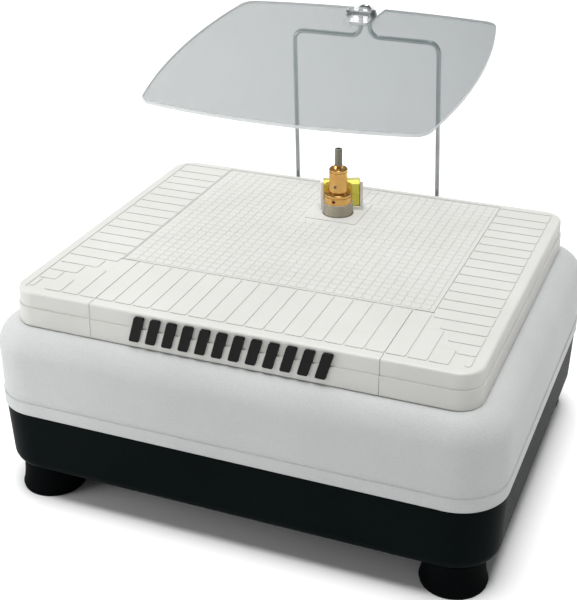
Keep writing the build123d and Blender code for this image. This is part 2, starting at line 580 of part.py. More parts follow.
with BuildPart() as spindle_shaft:
    with BuildSketch(on_spindle(SHAFT_BOTTOM_Z)):
        Circle(SHAFT_R)
    extrude(amount=SHAFT_TOP_Z - SHAFT_BOTTOM_Z)
    chamfer(spindle_shaft.edges().filter_by(GeomType.CIRCLE), 0.5)
spindle_shaft.part.label = "spindle_shaft"
export_step(spindle_shaft.part, "parts/spindle_shaft.step")

with BuildPart() as rotor_core:
    with BuildSketch(on_spindle(CORE_Z)):
        Circle(ROTOR_R)
        Circle(SHAFT_R + PRESS, mode=Mode.SUBTRACT)
    extrude(amount=CORE_H)
rotor_core.part.label = "rotor_core"
export_step(rotor_core.part, "parts/rotor_core.step")

with BuildPart() as rotor_end_rings:
    for z in (CORE_Z - END_RING_H, CORE_Z + CORE_H):
        with BuildSketch(on_spindle(z)):
            Circle(ROTOR_R - 1)
            Circle(ROTOR_R - 9, mode=Mode.SUBTRACT)
        extrude(amount=END_RING_H)
rotor_end_rings.part.label = "rotor_end_rings"
export_step(rotor_end_rings.part, "parts/rotor_end_rings.step")

with BuildPart() as thrust_rings:
    for z in (CAN_BOTTOM_Z + CAN_FOOT_H + GAP, UPPER_BUSH_Z - THRUST_T - GAP):
        with BuildSketch(on_spindle(z)):
            Circle(BUSH_R - 2.5)
            Circle(SHAFT_R + PRESS, mode=Mode.SUBTRACT)
        extrude(amount=THRUST_T)
thrust_rings.part.label = "thrust_rings"
export_step(thrust_rings.part, "parts/thrust_rings.step")

with BuildPart() as cooling_fan:
    with BuildSketch(on_spindle(FAN_Z)):
        Circle(FAN_R)
    extrude(amount=FAN_DISC_T)
    with BuildSketch(on_spindle(FAN_Z)):
        Circle(FAN_HUB_R)
    extrude(amount=FAN_DISC_T + BLADE_H)
    with BuildSketch(on_spindle(FAN_Z + FAN_DISC_T)):
        with PolarLocations((FAN_R + FAN_HUB_R) / 2, BLADE_COUNT):
            Rectangle(FAN_R - FAN_HUB_R - 1, BLADE_T, rotation=BLADE_ANGLE)
    extrude(amount=BLADE_H)
    with BuildSketch(on_spindle(FAN_Z)):
        Circle(SHAFT_R + PRESS)
    extrude(amount=FAN_DISC_T + BLADE_H, mode=Mode.SUBTRACT)
cooling_fan.part.label = "cooling_fan"
export_step(cooling_fan.part, "parts/cooling_fan.step")

with BuildPart() as shaft_slinger:
    with BuildSketch(Plane.XZ.offset(-SPINDLE_Y)):
        with BuildLine():
            Polyline((SHAFT_R + PRESS, SLINGER_Z), (SLINGER_R - 3, SLINGER_Z),
                     (SLINGER_R - 1.5, SLINGER_Z - SLINGER_LIP), (SLINGER_R, SLINGER_Z - SLINGER_LIP),
                     (SLINGER_R - 1, SLINGER_Z + SLINGER_T), (SLINGER_HUB_R, SLINGER_Z + 2 * SLINGER_T),
                     (SHAFT_R + PRESS, SLINGER_Z + 2 * SLINGER_T), close=True)
        make_face()
    revolve(axis=Axis((0, SPINDLE_Y, 0), (0, 0, 1)))
shaft_slinger.part.label = "shaft_slinger"
export_step(shaft_slinger.part, "parts/shaft_slinger.step")


# ---------------------------------------------------------------- grinding heads
RING_BOTTOM_Z, RING_TOP_Z, COLLAR_TOP_Z = TOP_Z - 1.0, TOP_Z + 10.2, TOP_Z + 19.0
HUB_R, QUICK_R, QUICK_TOP_Z = 11.55, 7.85, TOP_Z + 40.3
GROOVE_W, GROOVE_D = 0.9, 0.45
RING_SCREW_Z, RING_SCREW_R = TOP_Z + 13.6, 1.6
QUICK_SCREW_Z, QUICK_SCREW_R = TOP_Z + 25.8, 1.4
COLLET_R, COLLET_H = 4.3, 2.6
BIT_R, BIT_BORE_R, BIT_TOP_Z = 3.175, 2.0, TOP_Z + 57.5
BIT_BOTTOM_Z = SHAFT_TOP_Z + 2.5
BIT_BORE_L = 12.0


def front_of_spindle(z):
    """Plane through the spindle axis at height z that looks to the front."""
    return Plane(origin=(0, SPINDLE_Y, z), x_dir=(1, 0, 0), z_dir=(0, -1, 0))


def grub(radius, reach, z):
    """A socket grub screw that runs forward from just off the shaft, ending at reach."""
    with BuildPart() as one:
        with BuildSketch(front_of_spindle(z).offset(SHAFT_R + RUN)):
            Circle(radius)
        extrude(amount=reach - SHAFT_R - RUN)
        with BuildSketch(front_of_spindle(z).offset(reach - 1.5)):
            RegularPolygon(radius * 0.55, 6)
        extrude(amount=1.5, mode=Mode.SUBTRACT)
    return one.part


with BuildPart() as ring_hub:
    with BuildSketch(on_spindle(RING_BOTTOM_Z)):
        Circle(HUB_R)
    extrude(amount=COLLAR_TOP_Z - RING_BOTTOM_Z)
    chamfer(ring_hub.faces().sort_by(Axis.Z)[-1].edges(), 0.9)
    with BuildSketch(on_spindle(COLLAR_TOP_Z - 3.2)):
        Circle(HUB_R + 1)
        Circle(HUB_R - GROOVE_D, mode=Mode.SUBTRACT)
    extrude(amount=GROOVE_W, mode=Mode.SUBTRACT)
    with BuildSketch(on_spindle(RING_BOTTOM_Z)):
        Circle(SHAFT_R + RUN)
    extrude(amount=COLLAR_TOP_Z - RING_BOTTOM_Z, mode=Mode.SUBTRACT)
    with BuildSketch(front_of_spindle(RING_SCREW_Z)):
        Circle(RING_SCREW_R)
    extrude(amount=HUB_R + 1, mode=Mode.SUBTRACT)
ring_hub.part.label = "ring_hub"
export_step(ring_hub.part, "parts/ring_hub.step")

with BuildPart() as ring_grit:
    with BuildSketch(on_spindle(RING_BOTTOM_Z)):
        Circle(RING_R)
        Circle(HUB_R + PRESS, mode=Mode.SUBTRACT)
    extrude(amount=RING_TOP_Z - RING_BOTTOM_Z)
    fillet(ring_grit.faces().sort_by(Axis.Z)[-1].edges().sort_by(SortBy.RADIUS)[-1], 0.5)
ring_grit.part.label = "ring_grit"
export_step(ring_grit.part, "parts/ring_grit.step")

ring_grub = grub(RING_SCREW_R - THREAD, HUB_R - 2.5, RING_SCREW_Z)
with BuildPart() as ring_set_screw:
    add(ring_grub)
ring_set_screw.part.label = "ring_set_screw"
export_step(ring_set_screw.part, "parts/ring_set_screw.step")

with BuildPart() as quick_body:
    with BuildSketch(on_spindle(COLLAR_TOP_Z)):
        Circle(QUICK_R)
    extrude(amount=QUICK_TOP_Z - COLLAR_TOP_Z)
    chamfer(quick_body.faces().sort_by(Axis.Z)[-1].edges(), 0.7)
    with BuildSketch(on_spindle(QUICK_TOP_Z - 3.0)):
        Circle(QUICK_R + 1)
        Circle(QUICK_R - GROOVE_D, mode=Mode.SUBTRACT)
    extrude(amount=GROOVE_W, mode=Mode.SUBTRACT)
    with BuildSketch(on_spindle(QUICK_TOP_Z)):
        Circle(COLLET_R)
    extrude(amount=COLLET_H, taper=15)
    with BuildSketch(on_spindle(COLLAR_TOP_Z)):
        Circle(SHAFT_R + RUN)
    extrude(amount=SHAFT_TOP_Z + RUN - COLLAR_TOP_Z, mode=Mode.SUBTRACT)
    with BuildSketch(on_spindle(BIT_BOTTOM_Z)):
        Circle(BIT_R + PRESS)
    extrude(amount=QUICK_TOP_Z + COLLET_H - BIT_BOTTOM_Z, mode=Mode.SUBTRACT)
    with BuildSketch(front_of_spindle(QUICK_SCREW_Z)):
        Circle(QUICK_SCREW_R)
    extrude(amount=QUICK_R + 1, mode=Mode.SUBTRACT)
quick_body.part.label = "quick_body"
export_step(quick_body.part, "parts/quick_body.step")

quick_grub = grub(QUICK_SCREW_R - THREAD, QUICK_R - 1.2, QUICK_SCREW_Z)
with BuildPart() as quick_set_screw:
    add(quick_grub)
quick_set_screw.part.label = "quick_set_screw"
export_step(quick_set_screw.part, "parts/quick_set_screw.step")

with BuildPart() as core_bit:
    with BuildSketch(on_spindle(BIT_BOTTOM_Z)):
        Circle(BIT_R)
    extrude(amount=BIT_TOP_Z - BIT_BOTTOM_Z)
    fillet(core_bit.faces().sort_by(Axis.Z)[-1].edges(), 0.5)
    with BuildSketch(on_spindle(BIT_TOP_Z - BIT_BORE_L)):
        Circle(BIT_BORE_R)
    extrude(amount=BIT_BORE_L, mode=Mode.SUBTRACT)
core_bit.part.label = "core_bit"
export_step(core_bit.part, "parts/core_bit.step")


# ---------------------------------------------------------------- sponge and its holder
HOLDER_LEFT, HOLDER_RIGHT, HOLDER_FRONT, HOLDER_BACK = -14.5, 21.5, 5.0, 17.3
HOLDER_H, HOLDER_T, HOLDER_FLOOR_T = 25.5, 2.4, 2.5
SPONGE_FRONT, SPONGE_SHORT = 6.0, 2.0
holder_middle = (HOLDER_LEFT + HOLDER_RIGHT) / 2
holder_width = HOLDER_RIGHT - HOLDER_LEFT
sponge_back = HOLDER_BACK - HOLDER_T - GAP

with BuildPart() as sponge_holder:
    with BuildSketch(holder_plane.offset(TOP_Z)):
        with Locations((holder_middle, (HOLDER_FRONT + HOLDER_BACK) / 2)):
            Rectangle(holder_width, HOLDER_BACK - HOLDER_FRONT)
    extrude(amount=HOLDER_H)
    with BuildSketch(holder_plane.offset(TOP_Z + HOLDER_FLOOR_T)):
        with Locations((holder_middle, (HOLDER_FRONT + HOLDER_BACK) / 2 - HOLDER_T)):
            Rectangle(holder_width - 2 * HOLDER_T, HOLDER_BACK - HOLDER_FRONT)
    extrude(amount=HOLDER_H - HOLDER_FLOOR_T, mode=Mode.SUBTRACT)
    # peg under the floor at each end, and the hollow that clears the ring
    with BuildSketch(holder_plane.offset(PLATE_Z)):
        with Locations(PEGS):
            Circle(PEG_R)
    extrude(amount=PLATE_T)
    with BuildSketch(holder_plane.offset(TOP_Z)):
        Circle(HEAD_HOLE_R)
    extrude(amount=HOLDER_FLOOR_T, mode=Mode.SUBTRACT)
sponge_holder.part.label = "sponge_holder"
export_step(sponge_holder.part, "parts/sponge_holder.step")

with BuildPart() as sponge:
    with BuildSketch(holder_plane.offset(TOP_Z + HOLDER_FLOOR_T + GAP)):
        with Locations((holder_middle, (SPONGE_FRONT + sponge_back) / 2)):
            Rectangle(holder_width - 2 * HOLDER_T - 2 * GAP, sponge_back - SPONGE_FRONT)
        Circle(RING_R + GAP, mode=Mode.SUBTRACT)
    extrude(amount=HOLDER_H - HOLDER_FLOOR_T - SPONGE_SHORT)
sponge.part.label = "sponge"
export_step(sponge.part, "parts/sponge.step")


# ---------------------------------------------------------------- wire stand
WIRE_R = 2.0
STAND_BOTTOM_Z, STAND_BEND_Z = 114.0, 163.0
LEAN = 0.08                                      # forward lean above the bend, run over rise
SHOULDER_X, SHOULDER_Z, NECK_X, LOOP_Z = 64.5, 316.0, 4.0, 342.0
SHOULDER_BEND_R, NECK_BEND_R, LOOP_BEND_R = 9.0, 9.0, 3.9
SOCKET_FLANGE_T = 1.5


def wire_y(z):
    """Depth of the wire's centreline at height z."""
    return STAND_Y - LEAN * (z - STAND_BEND_Z)


with BuildPart() as stand_sockets:
    with BuildSketch(Plane.XY.offset(SOCKET_BOTTOM_Z + WALL)):
        with Locations((-STAND_X, STAND_Y), (STAND_X, STAND_Y)):
            Circle(SOCKET_R - 0.02)
    extrude(amount=STAND_BOSS_TOP_Z + SOCKET_FLANGE_T - SOCKET_BOTTOM_Z - WALL)
    with BuildSketch(Plane.XY.offset(STAND_BOSS_TOP_Z)):
        with Locations((-STAND_X, STAND_Y), (STAND_X, STAND_Y)):
            Circle(STAND_BOSS_R - 0.5)
    extrude(amount=SOCKET_FLANGE_T)
    with BuildSketch(Plane.XY.offset(STAND_BOTTOM_Z)):
        with Locations((-STAND_X, STAND_Y), (STAND_X, STAND_Y)):
            Circle(WIRE_R + 0.05)
    extrude(amount=STAND_BOSS_TOP_Z, mode=Mode.SUBTRACT)
stand_sockets.part.label = "stand_sockets"
export_step(stand_sockets.part, "parts/stand_sockets.step")

right_half = [
    (STAND_X, STAND_Y, STAND_BOTTOM_Z),
    (STAND_X, STAND_Y, STAND_BEND_Z),
    (SHOULDER_X, wire_y(SHOULDER_Z), SHOULDER_Z),
    (NECK_X, wire_y(SHOULDER_Z), SHOULDER_Z),
    (NECK_X, wire_y(LOOP_Z), LOOP_Z),
]
left_half = [(-x, y, z) for x, y, z in reversed(right_half)]
bend_radii = [4 * SHOULDER_BEND_R, SHOULDER_BEND_R, NECK_BEND_R, LOOP_BEND_R]

with BuildPart() as wire_stand:
    with BuildLine() as wire_path:
        FilletPolyline(*right_half, *left_half, radius=bend_radii + bend_radii[::-1])
    with BuildSketch(Plane.XY.offset(STAND_BOTTOM_Z)):
        with Locations((STAND_X, STAND_Y)):
            Circle(WIRE_R)
    sweep(path=wire_path.wires()[0])
wire_stand.part.label = "wire_stand"
export_step(wire_stand.part, "parts/wire_stand.step")


# ---------------------------------------------------------------- eye shield and its hub
SHEET_T = 2.5
SHEET_SLOPE = 0.147                              # rises towards the back at rest
SHEET_ORIGIN = (0, 131.5, TOP_Z + 153.3)         # on the sheet, under the pivot
PIVOT_RISE = 5.5                                 # pivot axis above the middle of the sheet
SHEET_CORNER_FRONT, SHEET_CORNER_BACK = (111.0, -186.0), (110.7, 15.9)
SHEET_SIDE, SHEET_FRONT, SHEET_BACK = (122.5, -66.7), -195.7, 23.2
SHEET_CORNER_R = 13.0
NOTCH_X, NOTCH_MOUTH_X, NOTCH_FRONT = 7.6, 14.0, -9.0
EAR_T, EAR_R, CLIP_T, CLIP_FRONT = 2.4, 5.2, 2.0, -16.0
PIVOT_R = 2.0
PIVOT_HEAD_R, PIVOT_HEAD_H = 3.6, 1.8
PIVOT_NUT_R, PIVOT_NUT_H, PIVOT_TAIL = 3.8, 2.4, 3.4
EAR_OUTSIDE = NOTCH_X + EAR_T
BLOCK_X = NOTCH_X - 0.5
BLOCK_BACK, BLOCK_BOTTOM_Z, BLOCK_TOP_Z = 146.0, 332.5, 341.0

sheet_plane = Plane(origin=SHEET_ORIGIN, x_dir=(1, 0, 0), z_dir=(0, -SHEET_SLOPE, 1))
pivot_centre = sheet_plane.offset(PIVOT_RISE).origin


def across(x):
    """Plane square to the pivot axis at x, with y to the back and z up."""
    return Plane(origin=(x, pivot_centre.Y, pivot_centre.Z), x_dir=(0, 1, 0), z_dir=(1, 0, 0))


with BuildPart() as shield_sheet:
    with BuildSketch(sheet_plane.offset(-SHEET_T / 2)) as sheet_outline:
        front_x, front_y = SHEET_CORNER_FRONT
        back_x, back_y = SHEET_CORNER_BACK
        side_x, side_y = SHEET_SIDE
        with BuildLine():
            ThreePointArc((-front_x, front_y), (0, SHEET_FRONT), (front_x, front_y))
            ThreePointArc((front_x, front_y), (side_x, side_y), (back_x, back_y))
            ThreePointArc((back_x, back_y), (0, SHEET_BACK), (-back_x, back_y))
            ThreePointArc((-back_x, back_y), (-side_x, side_y), (-front_x, front_y))
        make_face()
        fillet(sheet_outline.vertices(), SHEET_CORNER_R)
        with BuildLine():
            Polyline((-NOTCH_X, NOTCH_FRONT), (NOTCH_X, NOTCH_FRONT), (NOTCH_MOUTH_X, SHEET_BACK + OVERCUT),
                     (-NOTCH_MOUTH_X, SHEET_BACK + OVERCUT), close=True)
        make_face(mode=Mode.SUBTRACT)
    extrude(amount=SHEET_T)
shield_sheet.part.label = "shield_sheet"
export_step(shield_sheet.part, "parts/shield_sheet.step")

with BuildPart() as shield_clip:
    with BuildSketch(sheet_plane.offset(SHEET_T / 2)):
        with Locations((0, (CLIP_FRONT + EAR_R) / 2)):
            RectangleRounded(2 * EAR_OUTSIDE, EAR_R - CLIP_FRONT + 4, 3.0)
        with Locations((0, NOTCH_FRONT + SHEET_BACK)):
            Rectangle(2 * NOTCH_X, 2 * SHEET_BACK, mode=Mode.SUBTRACT)
    extrude(amount=CLIP_T)
    for x in (-EAR_OUTSIDE, NOTCH_X):
        with BuildSketch(across(x)):
            Circle(EAR_R)
            with Locations((0, -PIVOT_RISE / 2 + SHEET_T / 4)):
                Rectangle(2 * EAR_R, PIVOT_RISE - SHEET_T / 2)
        extrude(amount=EAR_T)
    add(shield_sheet.part, mode=Mode.SUBTRACT)
    with BuildSketch(across(-EAR_OUTSIDE)):
        Circle(PIVOT_R + 0.02)
    extrude(amount=2 * EAR_OUTSIDE, mode=Mode.SUBTRACT)
shield_clip.part.label = "shield_clip"
export_step(shield_clip.part, "parts/shield_clip.step")

with BuildPart() as neck_block:
    with BuildSketch(across(-BLOCK_X)):
        Circle(EAR_R)
        with Locations(((BLOCK_BACK - pivot_centre.Y) / 2,
                        (BLOCK_TOP_Z + BLOCK_BOTTOM_Z) / 2 - pivot_centre.Z)):
            Rectangle(BLOCK_BACK - pivot_centre.Y, BLOCK_TOP_Z - BLOCK_BOTTOM_Z)
    extrude(amount=2 * BLOCK_X)
    with BuildSketch(across(-BLOCK_X)):
        Circle(PIVOT_R + RUN)
    extrude(amount=2 * BLOCK_X, mode=Mode.SUBTRACT)
    add(wire_stand.part, mode=Mode.SUBTRACT)
neck_block.part.label = "neck_block"
export_step(neck_block.part, "parts/neck_block.step")

with BuildPart() as pivot_screw:
    with BuildSketch(across(-EAR_OUTSIDE - PIVOT_HEAD_H)):
        Circle(PIVOT_HEAD_R)
    extrude(amount=PIVOT_HEAD_H)
    fillet(pivot_screw.faces().sort_by(Axis.X)[0].edges(), PIVOT_HEAD_H / 2)
    with BuildSketch(across(-EAR_OUTSIDE)):
        Circle(PIVOT_R)
    extrude(amount=2 * EAR_OUTSIDE + PIVOT_TAIL)
pivot_screw.part.label = "pivot_screw"
export_step(pivot_screw.part, "parts/pivot_screw.step")

with BuildPart() as pivot_nut:
    with BuildSketch(across(EAR_OUTSIDE)):
        RegularPolygon(PIVOT_NUT_R, 6)
        Circle(PIVOT_R + 0.02, mode=Mode.SUBTRACT)
    extrude(amount=PIVOT_NUT_H)
pivot_nut.part.label = "pivot_nut"
export_step(pivot_nut.part, "parts/pivot_nut.step")


# ---------------------------------------------------------------- switch, cord inlet and wiring
BEZEL_T, BEZEL_EDGE = 1.6, 3.0
SWITCH_DEPTH = 20.0
BLADE_L, BLADE_W, BLADE_GAUGE, BLADE_GAP = 7.0, 5.0, 0.8, 8.0
ROCKER_X, ROCKER_Y, ROCKER_DEEP, ROCKER_PROUD = 22.0, 15.0, 6.0, 0.3
ROCKER_TILT = 8.0
TRUNNION_R, TRUNNION_L = 1.5, 1.3                # pins at the ends of the rocker
GLAND_FLANGE_R, GLAND_BORE_R, GLAND_LENGTH = 10.0, 3.5, 14.0

rocker_pivot = SWITCH_PLANE.offset(-ROCKER_DEEP / 2).origin
trunnion_plane = Plane(origin=rocker_pivot, x_dir=(0, 1, 0), z_dir=(1, 0, 0))

with BuildPart() as switch_body:
    with BuildSketch(SWITCH_PLANE):
        RectangleRounded(SWITCH_HOLE_X + 2 * BEZEL_EDGE, SWITCH_HOLE_Y + 2 * BEZEL_EDGE, 2.0)
    extrude(amount=BEZEL_T)
    with BuildSketch(SWITCH_PLANE):
        Rectangle(SWITCH_HOLE_X - 0.2, SWITCH_HOLE_Y - 0.2)
    extrude(amount=-SWITCH_DEPTH)
    with BuildSketch(SWITCH_PLANE.offset(BEZEL_T)):
        Rectangle(ROCKER_X + 2 * GAP, ROCKER_Y + 6 * GAP)
    extrude(amount=-BEZEL_T - ROCKER_DEEP - 3, mode=Mode.SUBTRACT)
    with BuildSketch(trunnion_plane):
        Circle(TRUNNION_R + THREAD)
    extrude(amount=ROCKER_X / 2 + TRUNNION_L + GAP, both=True, mode=Mode.SUBTRACT)
    with BuildSketch(SWITCH_PLANE.offset(-SWITCH_DEPTH)):
        with GridLocations(BLADE_GAP, 0, 2, 1):
            Rectangle(BLADE_GAUGE, BLADE_W)
    extrude(amount=-BLADE_L)
switch_body.part.label = "switch_body"
export_step(switch_body.part, "parts/switch_body.step")

# the rocker is made level on the switch's own plane and then tipped about its pivot to "off"
with BuildPart() as rocker_level:
    with BuildSketch(Plane(origin=SWITCH_PLANE.origin - SWITCH_PLANE.x_dir * (ROCKER_X / 2),
                           x_dir=SWITCH_PLANE.y_dir, z_dir=SWITCH_PLANE.x_dir)):
        with BuildLine():
            Polyline((-ROCKER_Y / 2 + 1, -ROCKER_DEEP), (ROCKER_Y / 2 - 1, -ROCKER_DEEP),
                     (ROCKER_Y / 2, ROCKER_PROUD + 1), (0, ROCKER_PROUD), (-ROCKER_Y / 2, ROCKER_PROUD + 1),
                     close=True)
        make_face()
    extrude(amount=ROCKER_X)
    with BuildSketch(trunnion_plane):
        Circle(TRUNNION_R)
    extrude(amount=ROCKER_X / 2 + TRUNNION_L, both=True)

rocker_tipped = rocker_level.part.rotate(Axis(rocker_pivot, (1, 0, 0)), -ROCKER_TILT)
with BuildPart() as switch_rocker:
    add(rocker_tipped)
switch_rocker.part.label = "switch_rocker"
export_step(switch_rocker.part, "parts/switch_rocker.step")

with BuildPart() as cord_gland:
    with BuildSketch(GLAND_PLANE):
        Circle(GLAND_FLANGE_R)
    extrude(amount=BEZEL_T)
    fillet(cord_gland.edges().filter_by(GeomType.CIRCLE).sort_by(Axis.Y)[-1], 1.0)
    with BuildSketch(GLAND_PLANE):
        Circle(GLAND_TUBE_R - 0.05)
    extrude(amount=BEZEL_T - GLAND_LENGTH)
    with BuildSketch(GLAND_PLANE.offset(BEZEL_T)):
        Circle(GLAND_BORE_R)
    extrude(amount=-GLAND_LENGTH, mode=Mode.SUBTRACT)
cord_gland.part.label = "cord_gland"
export_step(cord_gland.part, "parts/cord_gland.step")

with BuildPart() as gland_nut:
    with BuildSketch(GLAND_PLANE.offset(-WALL - 0.3)):
        RegularPolygon(GLAND_FLANGE_R, 6)
        Circle(GLAND_TUBE_R, mode=Mode.SUBTRACT)
    extrude(amount=-3.5)
gland_nut.part.label = "gland_nut"
export_step(gland_nut.part, "parts/gland_nut.step")

TERMINALS = (-62.0, 138.0)
TERMINALS_X, TERMINALS_Y, TERMINALS_H = 34.0, 14.0, 13.0
TERMINAL_R, TERMINAL_DEEP, TERMINAL_PITCH = 2.6, 5.0, 10.0

with BuildPart() as terminal_block:
    with BuildSketch(Plane.XY.offset(BASE_FLOOR_Z)):
        with Locations(TERMINALS):
            Rectangle(TERMINALS_X, TERMINALS_Y)
    extrude(amount=TERMINALS_H)
    with BuildSketch(Plane.XY.offset(BASE_FLOOR_Z + TERMINALS_H)):
        with Locations(TERMINALS):
            with GridLocations(TERMINAL_PITCH, 0, 3, 1):
                Circle(TERMINAL_R)
    extrude(amount=-TERMINAL_DEEP, mode=Mode.SUBTRACT)
terminal_block.part.label = "terminal_block"
export_step(terminal_block.part, "parts/terminal_block.step")

LEAD_R, LEAD_BEND_R, LEAD_Z, LEAD_GAP = 1.2, 6.0, 36.0, 3.0
switch_tail = SWITCH_PLANE.offset(-SWITCH_DEPTH - BLADE_L - 1).origin
gland_mouth = GLAND_PLANE.offset(BEZEL_T - GLAND_LENGTH - 1).origin


def lead(*points):
    """An insulated lead through the given points."""
    with BuildPart() as one:
        with BuildLine() as path:
            FilletPolyline(*points, radius=LEAD_BEND_R)
        with BuildSketch(Plane(origin=path.line @ 0, z_dir=path.line % 0)):
            Circle(LEAD_R)
        sweep(path=path.wires()[0])
    return one.part


def switch_lead(sign):
    """From a blade of the switch down and round to the near end of the terminal block."""
    blade_x = switch_tail.X - sign * BLADE_GAP / 2
    run_y = TERMINALS[1] + sign * LEAD_GAP
    return lead((blade_x, switch_tail.Y, switch_tail.Z), (blade_x, switch_tail.Y - 14, 44),
                (-100, run_y, LEAD_Z), (TERMINALS[0] - TERMINALS_X / 2, run_y, LEAD_Z))


def gland_lead(sign):
    """From the far end of the terminal block across to the mouth of the gland."""
    turn_x = gland_mouth.X - sign * LEAD_GAP / 2
    run_y = TERMINALS[1] + sign * LEAD_GAP
    return lead((TERMINALS[0] + TERMINALS_X / 2, run_y, LEAD_Z), (turn_x, run_y, LEAD_Z),
                (turn_x, gland_mouth.Y, gland_mouth.Z))


leads = [make(sign) for make in (switch_lead, gland_lead) for sign in (-1, 1)]
with BuildPart() as wiring_leads:
    add(leads)
wiring_leads.part.label = "wiring_leads"
export_step(wiring_leads.part, "parts/wiring_leads.step")
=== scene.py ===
# Bench bit grinder for stained glass: looks, detail pieces, light and camera.
# Metres, in the CAD frame: origin on the floor under the body's centre, front at -Y, +Z up.
import json
import math

import bmesh
import bpy
from mathutils import Matrix, Vector, noise


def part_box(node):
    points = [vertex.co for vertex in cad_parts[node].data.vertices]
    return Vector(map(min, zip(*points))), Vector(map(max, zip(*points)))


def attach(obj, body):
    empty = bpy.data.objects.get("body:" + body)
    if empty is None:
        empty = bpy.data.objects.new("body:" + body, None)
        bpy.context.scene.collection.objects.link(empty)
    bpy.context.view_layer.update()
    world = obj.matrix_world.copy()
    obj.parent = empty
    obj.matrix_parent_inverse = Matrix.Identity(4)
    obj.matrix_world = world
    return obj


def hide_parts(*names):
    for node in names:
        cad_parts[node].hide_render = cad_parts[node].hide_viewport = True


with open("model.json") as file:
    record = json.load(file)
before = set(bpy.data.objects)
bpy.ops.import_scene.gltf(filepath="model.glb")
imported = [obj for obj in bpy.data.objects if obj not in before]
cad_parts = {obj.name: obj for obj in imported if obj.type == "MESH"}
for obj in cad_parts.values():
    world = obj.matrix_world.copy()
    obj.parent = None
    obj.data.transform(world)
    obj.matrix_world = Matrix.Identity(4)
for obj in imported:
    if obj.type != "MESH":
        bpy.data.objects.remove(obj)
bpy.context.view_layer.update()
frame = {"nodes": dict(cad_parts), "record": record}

nodes = frame["nodes"]
scene = bpy.context.scene


# ---------------------------------------------------------------- camera
CAMERA_AT = (0.3254, -0.8247, 0.5903)
AZIMUTH = math.radians(22.35)                     # round from the front towards +X
ELEVATION = math.radians(27.24)
ROLL = math.radians(-0.56)
LENS_MM, SENSOR_MM = 73.03, 36.0


def make_camera():
    back = Vector((math.sin(AZIMUTH) * math.cos(ELEVATION), -math.cos(AZIMUTH) * math.cos(ELEVATION),
                   math.sin(ELEVATION)))
    level = Vector((math.cos(AZIMUTH), math.sin(AZIMUTH), 0))
    upright = back.cross(level)
    right = math.cos(ROLL) * level + math.sin(ROLL) * upright
    up = back.cross(right)
    data = bpy.data.cameras.new("camera")
    data.lens = LENS_MM
    data.sensor_width = SENSOR_MM
    camera = bpy.data.objects.new("camera", data)
    camera.matrix_world = Matrix.Translation(CAMERA_AT) @ Matrix((right, up, back)).transposed().to_4x4()
    scene.collection.objects.link(camera)
    scene.camera = camera


make_camera()


# ---------------------------------------------------------------- shader helpers
FINISHES = {}                                     # the material made for each slot name


